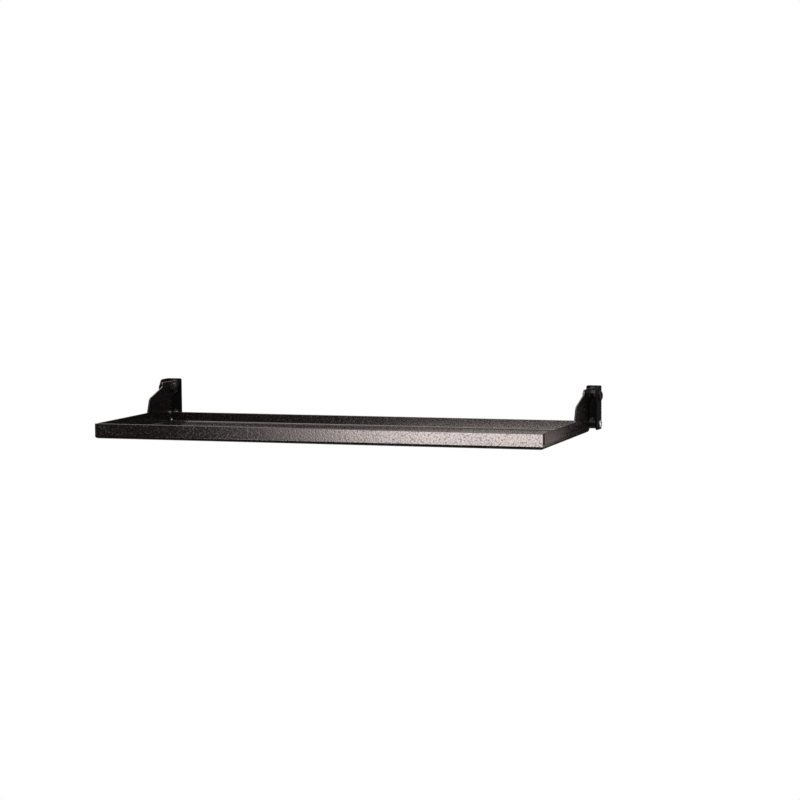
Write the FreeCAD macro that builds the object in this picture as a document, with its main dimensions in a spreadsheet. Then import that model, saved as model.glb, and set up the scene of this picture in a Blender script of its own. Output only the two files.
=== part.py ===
import FreeCAD, Part
import Sketcher
import os

# Folding keyboard tray for a 19 inch rack, one rack unit high.
# A bent steel pan hangs by two ears between two rail brackets. It turns on a bolt at the top of
# each bracket and rests on a sleeved stop bolt at the bottom, so its front lifts up to fold away.
# Frame: X to the right seen from the front, Y into the rack, Z up. The origin is the centre of
# the four rack holes, on the face of the rack rails.

# Every driving size, in millimetres.
SIZES = [
    ("rack_hole_span", 465.1, "between the two columns of rack holes"),
    ("rack_hole_rise", 31.75, "between the outer holes of one rack unit"),
    ("hole_edge", 8.75, "rack hole to the outer face of the bracket"),
    ("hole_margin", 6.125, "rack hole to the top or bottom edge of the bracket"),
    ("flange_land", 3.0, "metal between a slot and the inner edge of the rail flange"),
    ("bracket_sheet", 2.0, "sheet of the rail brackets"),
    ("bracket_bend", 1.5, "inner bend radius of the rail brackets"),
    ("slot_length", 9.0, "rack slot, end to end"),
    ("slot_width", 6.0, "rack slot, across"),
    ("flange_corner", 2.0, "corner radius of the rail flange"),
    ("cheek_land", 8.0, "pivot to the front edge of the cheek"),
    ("cheek_top_corner", 7.0, "corner radius of the cheek beside the pivot"),
    ("cheek_bottom_corner", 4.0, "corner radius of the cheek beside the stop"),
    ("rack_screw_dia", 5.0, "rack screw thread"),
    ("rack_neck_dia", 4.2, "plain neck of the rack screw, under its thread"),
    ("rack_neck_past", 0.5, "plain neck past the rear face of the bracket"),
    ("rack_screw_length", 14.0, "rack screw under its head"),
    ("rack_head_dia", 9.5, "rack screw head"),
    ("rack_head_height", 2.75, "rack screw head"),
    ("rack_crown_dia", 6.0, "flat crown of the rack screw head"),
    ("rack_socket", 3.0, "rack screw key, across flats"),
    ("rack_socket_depth", 1.5, "rack screw key recess"),
    ("rack_washer_dia", 10.0, "washer under the rack screw"),
    ("rack_washer_thick", 1.0, "washer under the rack screw"),
    ("pivot_below_top", 9.5, "pivot below the top edge of the bracket"),
    ("swing_gap", 0.75, "turning ear to the rack screw heads"),
    ("pivot_dia", 6.0, "pivot bolt shank"),
    ("pivot_head_dia", 10.5, "pivot bolt head"),
    ("pivot_head_height", 3.3, "pivot bolt head"),
    ("pivot_crown_dia", 6.8, "flat crown of the pivot bolt head"),
    ("pivot_socket", 4.0, "pivot bolt key, across flats"),
    ("pivot_socket_depth", 2.0, "pivot bolt key recess"),
    ("pivot_washer_dia", 12.0, "washer on the inside of the ear"),
    ("pivot_washer_thick", 1.0, "washer on the inside of the ear"),
    ("pivot_nut_flats", 10.0, "pivot lock nut, across flats"),
    ("pivot_nut_height", 4.0, "thin pivot lock nut"),
    ("spacer_flats", 10.0, "hexagonal pivot spacer, across flats"),
    ("bush_wall", 1.0, "wall of the pivot bush"),
    ("bush_flange_dia", 12.0, "flange of the pivot bush"),
    ("bush_flange_thick", 1.0, "flange of the pivot bush"),
    ("bush_proud", 0.4, "bush past the inner face of the ear"),
    ("run_play", 0.05, "radial play of the bush on the bolt"),
    ("end_play", 0.1, "play at each end of the bush"),
    ("bolt_play", 0.1, "radial play of a bolt in a plain hole"),
    ("stop_lift", 8.0, "stop bolt above the underside of the tray"),
    ("stop_room", 1.75, "stop sleeve to the rack screw heads"),
    ("stop_dia", 4.0, "stop bolt shank"),
    ("stop_head_dia", 7.6, "stop bolt head"),
    ("stop_head_height", 2.2, "stop bolt head"),
    ("stop_crown_dia", 4.8, "flat crown of the stop bolt head"),
    ("stop_socket", 2.5, "stop bolt key, across flats"),
    ("stop_socket_depth", 1.3, "stop bolt key recess"),
    ("stop_sleeve_dia", 8.0, "sleeve on the stop bolt"),
    ("stop_reach", 1.5, "stop sleeve past the inner face of the ear"),
    ("stop_gap", 0.3, "ear to the stop sleeve"),
    ("stop_nut_flats", 7.0, "stop lock nut, across flats"),
    ("stop_nut_height", 5.0, "stop lock nut"),
    ("thread_end", 0.5, "bolt past its nut"),
    ("ear_gap", 7.3, "ear to the cheek"),
    ("tray_reach", 200.7, "front of the tray before the rack"),
    ("tray_sheet", 1.5, "sheet of the tray"),
    ("tray_bend", 1.5, "inner bend radius of the tray"),
    ("tray_below", 2.5, "underside of the tray below the bracket"),
    ("rim_height", 15.2, "front lip and sides of the tray"),
    ("rear_lip_height", 11.6, "rear lip of the tray"),
    ("rear_setback", 1.7, "rear lip before the rear edge of the ears"),
    ("front_notch", 4.5, "open notch between the front lip and a side"),
    ("seam_gap", 1.4, "open seam between the rear lip and a side"),
    ("seam_relief", 2.4, "relief hole at the foot of a seam"),
    ("ear_end_radius", 7.5, "round end of the ear about the pivot"),
    ("ear_foot", 76.0, "front foot of the ear before the rack"),
    ("ear_lean", 5.3, "ear knee behind the foot"),
    ("ear_knee_rise", 29.9, "ear knee above the underside of the tray"),
    ("ear_knee_round", 6.0, "rounding of the ear knee"),
    ("ear_pad", 23.8, "pivot to the front of the raised pad of the ear"),
    ("ear_pad_step", 4.8, "height of the step in front of the pad"),
    ("ear_round", 2.0, "rounding of the other corners of the ear"),
]

doc = FreeCAD.newDocument("keyboard_tray")
sheet = doc.addObject("Spreadsheet::Sheet", "sizes")
for row, (alias, number, meaning) in enumerate(SIZES, start=1):
    sheet.set(f"A{row}", meaning)
    sheet.set(f"B{row}", str(number))
    sheet.setAlias(f"B{row}", alias)
doc.recompute()

# Places that follow from the driving sizes. X is given for the right-hand side, "out" is a
# distance before the rail face, and "rise" is a height above the centre.
PANEL_HALF = "(sizes.rack_hole_span / 2 + sizes.hole_edge)"
CHEEK_INNER = f"({PANEL_HALF} - sizes.bracket_sheet)"
BRACKET_HALF = "(sizes.rack_hole_rise / 2 + sizes.hole_margin)"
EAR_OUTER = f"({CHEEK_INNER} - sizes.ear_gap)"
EAR_INNER = f"({EAR_OUTER} - sizes.tray_sheet)"
WASHER_FRONT = "(sizes.bracket_sheet + sizes.rack_washer_thick)"
HEADS_FRONT = f"({WASHER_FRONT} + sizes.rack_head_height)"
PIVOT_OUT = f"({HEADS_FRONT} + sizes.swing_gap + sizes.ear_end_radius)"
PIVOT_RISE = f"({BRACKET_HALF} - sizes.pivot_below_top)"
CHEEK_OUT = f"({PIVOT_OUT} + sizes.cheek_land)"
UNDERSIDE = f"(-({BRACKET_HALF}) - sizes.tray_below)"
RIM_TOP = f"({UNDERSIDE} + sizes.rim_height)"
BEND_OUTER = "(sizes.tray_bend + sizes.tray_sheet)"
BEND_TOP = f"({UNDERSIDE} + {BEND_OUTER})"
STOP_OUT = f"({HEADS_FRONT} + sizes.stop_room + sizes.stop_sleeve_dia / 2)"
STOP_RISE = f"({UNDERSIDE} + sizes.stop_lift)"
EAR_REAR = f"({STOP_OUT} + sizes.stop_sleeve_dia / 2 + sizes.stop_gap)"
TRAY_REAR = f"({EAR_REAR} + sizes.rear_setback)"
EAR_TOP = f"({PIVOT_RISE} + sizes.ear_end_radius)"
BUSH_OUTER = f"({EAR_OUTER} + sizes.bush_flange_thick)"
BUSH_INNER = f"({EAR_INNER} - sizes.bush_proud)"
PIVOT_WASHER_FACE = f"({BUSH_INNER} - sizes.end_play)"
PIVOT_NUT_FACE = f"({PIVOT_WASHER_FACE} - sizes.pivot_washer_thick)"
STOP_NUT_FACE = f"({EAR_INNER} - sizes.stop_reach)"
PIVOT_BORE = "(sizes.pivot_dia / 2 + sizes.run_play)"
BUSH_RADIUS = f"({PIVOT_BORE} + sizes.bush_wall)"

SIDES = (("left", -1), ("right", 1))
INWARD = {-1: FreeCAD.Rotation(FreeCAD.Vector(0, 1, 0), 90),
          1: FreeCAD.Rotation(FreeCAD.Vector(0, 1, 0), -90)}
INTO_RACK = FreeCAD.Rotation(FreeCAD.Vector(1, 0, 0), -90)
ALONG_X = FreeCAD.Vector(1, 0, 0)
ALONG_Y = FreeCAD.Vector(0, 1, 0)
ALONG_Z = FreeCAD.Vector(0, 0, 1)
NEAR = 1e-4
subparts = []


def new_body(label):
    """One piece of the tray, kept in the list of pieces to write."""
    body = doc.addObject("PartDesign::Body", label)
    body.Label = label
    subparts.append(body)
    return body


def place(body, x, y, z, rotation):
    """Carry a piece that is drawn about its own axis to its seat."""
    body.Placement = FreeCAD.Placement(FreeCAD.Vector(), rotation)
    for axis, expression in (("x", x), ("y", y), ("z", z)):
        body.setExpression(f"Placement.Base.{axis}", expression)


def new_sketch(body, name, role, offset="0"):
    """An empty sketch on one of the body's own planes, moved along the plane's normal."""
    sketch = body.newObject("Sketcher::SketchObject", f"{body.Label}_{name}")
    plane = [feature for feature in body.Origin.OriginFeatures if feature.Role == role][0]
    sketch.AttachmentSupport = [(plane, "")]
    sketch.MapMode = "FlatFace"
    sketch.setExpression("AttachmentOffset.Base.z", offset)
    return sketch


def pin_point(sketch, geometry, point, x, y):
    """Hold one point of a sketch at two signed distances from the sketch's origin."""
    drawn = sketch.getPoint(geometry, point)
    for kind, start, expression in (("DistanceX", drawn.x, x), ("DistanceY", drawn.y, y)):
        number = sketch.addConstraint(Sketcher.Constraint(kind, -1, 1, geometry, point, start))
        sketch.setExpression(f"Constraints[{number}]", expression)


def polygon(sketch, corners):
    """A closed outline of straight lines through corners given as expressions."""
    first = sketch.GeometryCount
    turn = FreeCAD.Rotation(ALONG_Z, 360.0 / len(corners))
    start = FreeCAD.Vector(10, 0, 0)
    for number in range(len(corners)):
        end = turn.multVec(start)
        sketch.addGeometry(Part.LineSegment(start, end))
        start = end
    for number, (x, y) in enumerate(corners):
        following = (number + 1) % len(corners)
        sketch.addConstraint(
            Sketcher.Constraint("Coincident", first + number, 2, first + following, 1))
        pin_point(sketch, first + number, 1, x, y)


def rectangle(sketch, x_low, x_high, y_low, y_high):
    polygon(sketch, [(x_low, y_low), (x_high, y_low), (x_high, y_high), (x_low, y_high)])


def circle(sketch, x, y, radius):
    number = sketch.addGeometry(Part.Circle(FreeCAD.Vector(), ALONG_Z, 1.0))
    pin_point(sketch, number, 3, x, y)
    size = sketch.addConstraint(Sketcher.Constraint("Radius", number, 1.0))
    sketch.setExpression(f"Constraints[{size}]", radius)


def hexagon(sketch, flats):
    corner = f"{flats} / sqrt(3)"
    half = f"{flats} / 2"
    polygon(sketch, [(corner, "0"), (f"{corner} / 2", half), (f"-{corner} / 2", half),
                     (f"-{corner}", "0"), (f"-{corner} / 2", f"-{half}"),
                     (f"{corner} / 2", f"-{half}")])


def slot(sketch, x, y, length, width):
    """A slot along the sketch's first axis, drawn small at the origin and then driven to size."""
    first = sketch.GeometryCount
    vector = FreeCAD.Vector
    right = Part.Circle(vector(2, 0, 0), ALONG_Z, 1)
    left = Part.Circle(vector(-2, 0, 0), ALONG_Z, 1)
    quarter = FreeCAD.Units.Quantity("90 deg").getValueAs("rad").Value
    sketch.addGeometry(Part.LineSegment(vector(-2, -1, 0), vector(2, -1, 0)))
    sketch.addGeometry(Part.ArcOfCircle(right, -quarter, quarter))
    sketch.addGeometry(Part.LineSegment(vector(2, 1, 0), vector(-2, 1, 0)))
    sketch.addGeometry(Part.ArcOfCircle(left, quarter, 3 * quarter))
    for number in range(4):
        following = first + (number + 1) % 4
        sketch.addConstraint(Sketcher.Constraint("Tangent", first + number, 2, following, 1))
    sketch.addConstraint(Sketcher.Constraint("Equal", first + 1, first + 3))
    run = f"({length} - {width}) / 2"
    pin_point(sketch, first + 1, 3, f"{x} + {run}", y)
    pin_point(sketch, first + 3, 3, f"{x} - {run}", y)
    size = sketch.addConstraint(Sketcher.Constraint("Radius", first + 1, 1.0))
    sketch.setExpression(f"Constraints[{size}]", f"{width} / 2")


def pad(body, sketch, length, symmetric=False, backwards=False):
    feature = body.newObject("PartDesign::Pad", f"{sketch.Name}_pad")
    feature.Profile = sketch
    feature.setExpression("Length", length)
    feature.SideType = "Symmetric" if symmetric else "One side"
    feature.Reversed = backwards
    doc.recompute()
    return feature


def pocket(body, sketch, length, symmetric=False, backwards=False):
    """Cut a sketch out of a body, and make sure that something was cut."""
    before = body.Shape.Volume
    feature = body.newObject("PartDesign::Pocket", f"{sketch.Name}_cut")
    feature.Profile = sketch
    feature.setExpression("Length", length)
    feature.SideType = "Symmetric" if symmetric else "One side"
    feature.Reversed = backwards
    doc.recompute()
    if not body.Shape.Volume < before:
        raise ValueError(f"{feature.Name} cuts nothing")
    return feature


def revolve(body, sketch):
    feature = body.newObject("PartDesign::Revolution", f"{sketch.Name}_turned")
    feature.Profile = sketch
    feature.ReferenceAxis = (sketch, ["V_Axis"])
    feature.Angle = 360
    doc.recompute()
    return feature


def edge_names(feature, wanted):
    """The names of the edges of a feature that a test picks out."""
    edges = enumerate(feature.Shape.Edges, start=1)
    names = [f"Edge{number}" for number, edge in edges if wanted(edge)]
    if not names:
        raise ValueError(f"no edge found on {feature.Name}")
    return names


def fillet(body, feature, name, radius, wanted):
    """Round the edges of a feature that a test picks out."""
    names = edge_names(feature, wanted)
    rounded = body.newObject("PartDesign::Fillet", f"{body.Label}_{name}")
    rounded.Base = (feature, names)
    rounded.setExpression("Radius", radius)
    doc.recompute()
    return rounded


def runs_along(edge, direction):
    """True for a straight edge that lies along a direction."""
    if edge.Curve.TypeId != "Part::GeomLine":
        return False
    return edge.tangentAt(edge.FirstParameter).cross(direction).Length < NEAR


def passes(direction, points):
    """A test for straight edges along a direction whose line goes through one of the points."""
    def wanted(edge):
        if not runs_along(edge, direction):
            return False
        middle = edge.CenterOfMass
        return any((middle - point).cross(direction).Length < NEAR for point in points)
    return wanted


def corner_points(sketch, numbers):
    """Solved corners of a polygon sketch, in the body's frame."""
    return [sketch.Placement.multVec(sketch.Geometry[number].StartPoint) for number in numbers]


def level_edge(height):
    """A test for edges that lie flat at one height."""
    def wanted(edge):
        box = edge.BoundBox
        return abs(box.ZMin - height) < NEAR and abs(box.ZMax - height) < NEAR
    return wanted


# Tray pan: one sheet folded up on four sides, with an ear standing on each side.
def tray_pan():
    body = new_body("tray_pan")
    outline = new_sketch(body, "outline", "XY_Plane", UNDERSIDE)
    rectangle(outline, f"-{EAR_OUTER}", EAR_OUTER, "-sizes.tray_reach", f"-{TRAY_REAR}")
    block = pad(body, outline, "sizes.rim_height")
    bends = fillet(body, block, "outer_bends", BEND_OUTER, level_edge(block.Shape.BoundBox.ZMin))

    hollow = new_sketch(body, "hollow", "XY_Plane", RIM_TOP)
    rectangle(hollow, f"-{EAR_INNER}", EAR_INNER,
              "-sizes.tray_reach + sizes.tray_sheet", f"-{TRAY_REAR} - sizes.tray_sheet")
    rim = pocket(body, hollow, "sizes.rim_height - sizes.tray_sheet")
    floor_top = bends.Shape.BoundBox.ZMin + sheet.tray_sheet
    fillet(body, rim, "inner_bends", "sizes.tray_bend", level_edge(floor_top))

    lowered = new_sketch(body, "lowered_rear", "XY_Plane", RIM_TOP)
    rectangle(lowered, f"-{EAR_INNER}", EAR_INNER, f"-{TRAY_REAR} - sizes.tray_sheet", f"-{TRAY_REAR}")
    pocket(body, lowered, "sizes.rim_height - sizes.rear_lip_height")

    for name, side in SIDES:
        add_ear(body, name, side)
        cut_front_notch(body, name, side)
    cut_rear_seams(body)

    holes = new_sketch(body, "bush_holes", "YZ_Plane")
    circle(holes, f"-{PIVOT_OUT}", PIVOT_RISE, BUSH_RADIUS)
    pocket(body, holes, f"4 * {EAR_OUTER}", symmetric=True)


# An ear rises from the side of the pan to a raised pad and a round end about the pivot. Its
# straight rear edge leans on the stop sleeve.
def add_ear(body, name, side):
    face = f"{side} * {EAR_OUTER}"
    inward = side > 0
    foot_out = "sizes.ear_foot"
    knee_out = "(sizes.ear_foot - sizes.ear_lean)"
    pad_out = f"({PIVOT_OUT} + sizes.ear_pad)"
    plate = new_sketch(body, f"{name}_ear", "YZ_Plane", face)
    polygon(plate, [
        (f"-{foot_out}", RIM_TOP),
        (f"-{knee_out}", f"{UNDERSIDE} + sizes.ear_knee_rise"),
        (f"-{pad_out}", f"{EAR_TOP} - sizes.ear_pad_step"),
        (f"-{pad_out}", EAR_TOP),
        (f"-{PIVOT_OUT}", EAR_TOP),
        (f"-{PIVOT_OUT}", PIVOT_RISE),
        (f"-{EAR_REAR}", PIVOT_RISE),
        (f"-{EAR_REAR}", BEND_TOP),
        (f"-{foot_out}", BEND_TOP)])
    pad(body, plate, "sizes.tray_sheet", backwards=inward)
    round_end = new_sketch(body, f"{name}_ear_end", "YZ_Plane", face)
    circle(round_end, f"-{PIVOT_OUT}", PIVOT_RISE, "sizes.ear_end_radius")
    ear = pad(body, round_end, "sizes.tray_sheet", backwards=inward)

    foot, knee, step, pad_corner, top, centre, rear = corner_points(plate, range(7))
    drop = (sheet.ear_end_radius ** 2 - (centre.y - rear.y) ** 2) ** 0.5
    throat = FreeCAD.Vector(rear.x, rear.y, centre.z - drop)
    rounded = fillet(body, ear, f"{name}_knee", "sizes.ear_knee_round", passes(ALONG_X, [knee]))
    fillet(body, rounded, f"{name}_corners", "sizes.ear_round",
           passes(ALONG_X, [foot, step, pad_corner, throat]))


# The front lip runs the full width, and each side stops short of it. The notch between them has
# a round foot just above the bend.
def cut_front_notch(body, name, side):
    face = f"{side} * {EAR_OUTER}"
    leftwards = side < 0
    lip_back = "(-sizes.tray_reach + sizes.tray_sheet)"
    foot_middle = f"({BEND_TOP} + sizes.front_notch / 2)"
    notch = new_sketch(body, f"{name}_front_notch", "YZ_Plane", face)
    rectangle(notch, lip_back, f"{lip_back} + sizes.front_notch", foot_middle, RIM_TOP)
    pocket(body, notch, "sizes.tray_sheet", backwards=leftwards)
    foot = new_sketch(body, f"{name}_notch_foot", "YZ_Plane", face)
    circle(foot, f"{lip_back} + sizes.front_notch / 2", foot_middle, "sizes.front_notch / 2")
    pocket(body, foot, "sizes.tray_sheet", backwards=leftwards)


# The rear lip stops short of the sides. Each seam ends in a drilled relief just above the bend,
# so that the folded corner doesn't tear.
def cut_rear_seams(body):
    out = f"{TRAY_REAR} + sizes.tray_sheet"
    seams = new_sketch(body, "rear_seams", "XZ_Plane", out)
    reliefs = new_sketch(body, "rear_reliefs", "XZ_Plane", out)
    for name, side in SIDES:
        near = f"{side} * ({EAR_INNER} - sizes.seam_gap)"
        far = f"{side} * {EAR_INNER}"
        middle = f"{side} * ({EAR_INNER} - sizes.seam_gap / 2)"
        rectangle(seams, near, far, BEND_TOP, RIM_TOP)
        circle(reliefs, middle, BEND_TOP, "sizes.seam_relief / 2")
    pocket(body, seams, "sizes.tray_sheet")
    pocket(body, reliefs, "sizes.tray_sheet")


# Rail bracket: an angle with a slotted flange on the rail and a cheek that carries the bolts.
def rail_bracket(name, side):
    body = new_body(f"{name}_rail_bracket")
    hole_x = f"{side} * sizes.rack_hole_span / 2"
    flange_inner = "(sizes.rack_hole_span / 2 - sizes.slot_length / 2 - sizes.flange_land)"
    angle = new_sketch(body, "angle", "XY_Plane")
    polygon(angle, [
        (f"{side} * {flange_inner}", "0"),
        (f"{side} * {PANEL_HALF}", "0"),
        (f"{side} * {PANEL_HALF}", f"-{CHEEK_OUT}"),
        (f"{side} * {CHEEK_INNER}", f"-{CHEEK_OUT}"),
        (f"{side} * {CHEEK_INNER}", "-sizes.bracket_sheet"),
        (f"{side} * {flange_inner}", "-sizes.bracket_sheet")])
    length = pad(body, angle, f"2 * {BRACKET_HALF}", symmetric=True)
    outer, inner = corner_points(angle, (1, 4))
    bend = fillet(body, length, "outer_bend", "sizes.bracket_bend + sizes.bracket_sheet",
                  passes(ALONG_Z, [outer]))
    bend = fillet(body, bend, "inner_bend", "sizes.bracket_bend", passes(ALONG_Z, [inner]))

    box = bend.Shape.BoundBox
    cheek_front = corner_points(angle, (2,))[0].y
    flange_edge = corner_points(angle, (0,))[0].x
    cheek_top = FreeCAD.Vector(0, cheek_front, box.ZMax)
    cheek_bottom = FreeCAD.Vector(0, cheek_front, box.ZMin)
    flange_ends = [FreeCAD.Vector(flange_edge, 0, height) for height in (box.ZMin, box.ZMax)]
    bend = fillet(body, bend, "cheek_top", "sizes.cheek_top_corner", passes(ALONG_X, [cheek_top]))
    bend = fillet(body, bend, "cheek_bottom", "sizes.cheek_bottom_corner",
                  passes(ALONG_X, [cheek_bottom]))
    fillet(body, bend, "flange_ends", "sizes.flange_corner", passes(ALONG_Y, flange_ends))

    slots = new_sketch(body, "slots", "XZ_Plane")
    for level in (-1, 1):
        slot(slots, hole_x, f"{level} * sizes.rack_hole_rise / 2", "sizes.slot_length", "sizes.slot_width")
    pocket(body, slots, "2 * sizes.bracket_sheet", backwards=True)
    holes = new_sketch(body, "bolt_holes", "YZ_Plane", f"{side} * {PANEL_HALF}")
    circle(holes, f"-{PIVOT_OUT}", PIVOT_RISE, "sizes.pivot_dia / 2 + sizes.bolt_play")
    circle(holes, f"-{STOP_OUT}", STOP_RISE, "sizes.stop_dia / 2 + sizes.bolt_play")
    pocket(body, holes, "4 * sizes.bracket_sheet", symmetric=True)


# A socket screw about the Z axis, with a button head below the origin. The shank is a list of
# points, radius and height, from under the head to the edge of the tip.
def socket_screw(label, kind, shank):
    body = new_body(label)
    profile = new_sketch(body, "profile", "XZ_Plane")
    height = f"sizes.{kind}_head_height"
    crown = f"sizes.{kind}_crown_dia / 2"
    rim = f"sizes.{kind}_head_dia / 2"
    tip = shank[-1][1]
    polygon(profile, [("0", f"-{height}"), (crown, f"-{height}"), (rim, "0"), *shank, ("0", tip)])
    revolve(body, profile)
    key = new_sketch(body, "key", "XY_Plane", f"-{height}")
    hexagon(key, f"sizes.{kind}_socket")
    pocket(body, key, f"sizes.{kind}_socket_depth", backwards=True)
    return body


# A plain tube or ring about the Z axis, standing on the origin.
def ring(label, bore, outside, length):
    body = new_body(label)
    profile = new_sketch(body, "profile", "XZ_Plane")
    rectangle(profile, bore, outside, "0", length)
    revolve(body, profile)
    return body


# A bored hexagon about the Z axis, standing on the origin, for lock nuts and spacers.
def bored_hexagon(label, flats, bore, length):
    body = new_body(label)
    outline = new_sketch(body, "outline", "XY_Plane")
    hexagon(outline, flats)
    circle(outline, "0", "0", bore)
    pad(body, outline, length)
    return body


# Pivot: the bolt and its spacer, washer and nut stay with the bracket, and the flanged bush in
# the ear turns on the bolt.
def pivot(name, side):
    bolt_fit = "sizes.pivot_dia / 2"
    fixed_bore = f"{bolt_fit} + sizes.bolt_play"
    pivot_y = f"-{PIVOT_OUT}"
    length = f"{PANEL_HALF} - {PIVOT_NUT_FACE} + sizes.pivot_nut_height + sizes.thread_end"
    bolt = socket_screw(f"{name}_pivot_bolt", "pivot", [(bolt_fit, "0"), (bolt_fit, length)])
    place(bolt, f"{side} * {PANEL_HALF}", pivot_y, PIVOT_RISE, INWARD[side])

    spacer = bored_hexagon(f"{name}_pivot_spacer", "sizes.spacer_flats", fixed_bore,
                           f"{CHEEK_INNER} - {BUSH_OUTER} - sizes.end_play")
    place(spacer, f"{side} * {CHEEK_INNER}", pivot_y, PIVOT_RISE, INWARD[side])

    bush = new_body(f"{name}_pivot_bush")
    profile = new_sketch(bush, "profile", "XZ_Plane")
    polygon(profile, [
        (PIVOT_BORE, "0"), ("sizes.bush_flange_dia / 2", "0"),
        ("sizes.bush_flange_dia / 2", "sizes.bush_flange_thick"),
        (BUSH_RADIUS, "sizes.bush_flange_thick"),
        (BUSH_RADIUS, f"{BUSH_OUTER} - {BUSH_INNER}"),
        (PIVOT_BORE, f"{BUSH_OUTER} - {BUSH_INNER}")])
    revolve(bush, profile)
    place(bush, f"{side} * {BUSH_OUTER}", pivot_y, PIVOT_RISE, INWARD[side])

    washer = ring(f"{name}_pivot_washer", fixed_bore, "sizes.pivot_washer_dia / 2",
                  "sizes.pivot_washer_thick")
    place(washer, f"{side} * {PIVOT_WASHER_FACE}", pivot_y, PIVOT_RISE, INWARD[side])

    nut = bored_hexagon(f"{name}_pivot_nut", "sizes.pivot_nut_flats", bolt_fit, "sizes.pivot_nut_height")
    place(nut, f"{side} * {PIVOT_NUT_FACE}", pivot_y, PIVOT_RISE, INWARD[side])


# Stop: a bolt through the cheek with a plastic sleeve that the rear edge of the ear leans on.
def stop(name, side):
    stop_y = f"-{STOP_OUT}"
    length = f"{PANEL_HALF} - {STOP_NUT_FACE} + sizes.stop_nut_height + sizes.thread_end"
    bolt_fit = "sizes.stop_dia / 2"
    bolt = socket_screw(f"{name}_stop_bolt", "stop", [(bolt_fit, "0"), (bolt_fit, length)])
    place(bolt, f"{side} * {PANEL_HALF}", stop_y, STOP_RISE, INWARD[side])

    sleeve = ring(f"{name}_stop_sleeve", f"{bolt_fit} + sizes.bolt_play",
                  "sizes.stop_sleeve_dia / 2", f"{CHEEK_INNER} - {STOP_NUT_FACE}")
    place(sleeve, f"{side} * {CHEEK_INNER}", stop_y, STOP_RISE, INWARD[side])

    nut = bored_hexagon(f"{name}_stop_nut", "sizes.stop_nut_flats", bolt_fit, "sizes.stop_nut_height")
    place(nut, f"{side} * {STOP_NUT_FACE}", stop_y, STOP_RISE, INWARD[side])


# Rack screws: two on each side, with washers, through the slots of the rail flange. A plain neck
# fills the slot, and the thread starts behind the flange.
def rack_fixing(name, side, level_name, level):
    hole_x = f"{side} * sizes.rack_hole_span / 2"
    hole_rise = f"{level} * sizes.rack_hole_rise / 2"
    neck = "sizes.rack_neck_dia / 2"
    neck_end = f"{WASHER_FRONT} + sizes.rack_neck_past"
    thread = "sizes.rack_screw_dia / 2"
    screw = socket_screw(f"{name}_{level_name}_rack_screw", "rack", [
        (neck, "0"), (neck, neck_end), (thread, neck_end), (thread, "sizes.rack_screw_length")])
    place(screw, hole_x, f"-{WASHER_FRONT}", hole_rise, INTO_RACK)
    washer = ring(f"{name}_{level_name}_rack_washer", "sizes.rack_screw_dia / 2 + sizes.bolt_play",
                  "sizes.rack_washer_dia / 2", "sizes.rack_washer_thick")
    place(washer, hole_x, f"-{WASHER_FRONT}", hole_rise, INTO_RACK)


tray_pan()
for side_name, side_sign in SIDES:
    rail_bracket(side_name, side_sign)
    pivot(side_name, side_sign)
    stop(side_name, side_sign)
    for level_name, level_sign in (("lower", -1), ("upper", 1)):
        rack_fixing(side_name, side_sign, level_name, level_sign)
doc.recompute()

for item in doc.Objects:
    if "Invalid" in item.State or "Error" in item.State:
        raise RuntimeError(f"{item.Label} failed: {item.State}")
for piece in subparts:
    if piece.Shape.isNull() or not piece.Shape.isValid() or len(piece.Shape.Solids) != 1:
        raise RuntimeError(f"{piece.Label} is not one sound solid")

os.makedirs("parts", exist_ok=True)
for piece in subparts:
    piece.Shape.exportStep(f"parts/{piece.Label}.step")
print(len(subparts), "pieces written")
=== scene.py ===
from math import cos, pi, radians, sin, sqrt, tan

import bmesh
import bpy
from mathutils import Matrix, Vector


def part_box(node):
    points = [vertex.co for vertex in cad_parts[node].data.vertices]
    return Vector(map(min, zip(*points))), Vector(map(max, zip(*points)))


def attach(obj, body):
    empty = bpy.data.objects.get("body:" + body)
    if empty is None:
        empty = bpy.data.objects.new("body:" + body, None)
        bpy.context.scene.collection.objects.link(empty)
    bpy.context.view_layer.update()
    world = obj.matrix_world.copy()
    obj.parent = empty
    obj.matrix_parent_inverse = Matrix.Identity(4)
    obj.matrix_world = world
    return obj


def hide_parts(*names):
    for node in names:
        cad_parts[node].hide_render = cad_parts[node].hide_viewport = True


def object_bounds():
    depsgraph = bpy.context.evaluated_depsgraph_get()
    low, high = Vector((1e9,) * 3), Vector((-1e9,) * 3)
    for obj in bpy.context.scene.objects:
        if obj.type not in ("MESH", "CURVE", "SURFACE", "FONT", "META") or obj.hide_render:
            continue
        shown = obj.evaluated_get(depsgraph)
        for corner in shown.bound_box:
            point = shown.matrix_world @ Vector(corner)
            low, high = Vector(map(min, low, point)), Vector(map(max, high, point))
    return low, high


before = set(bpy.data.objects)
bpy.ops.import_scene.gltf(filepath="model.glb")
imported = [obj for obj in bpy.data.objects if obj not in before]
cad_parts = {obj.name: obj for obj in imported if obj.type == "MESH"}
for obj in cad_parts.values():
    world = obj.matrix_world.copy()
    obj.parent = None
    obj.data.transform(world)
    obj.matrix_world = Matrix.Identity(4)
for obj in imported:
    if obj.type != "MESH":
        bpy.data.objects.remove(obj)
cad_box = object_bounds()


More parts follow.
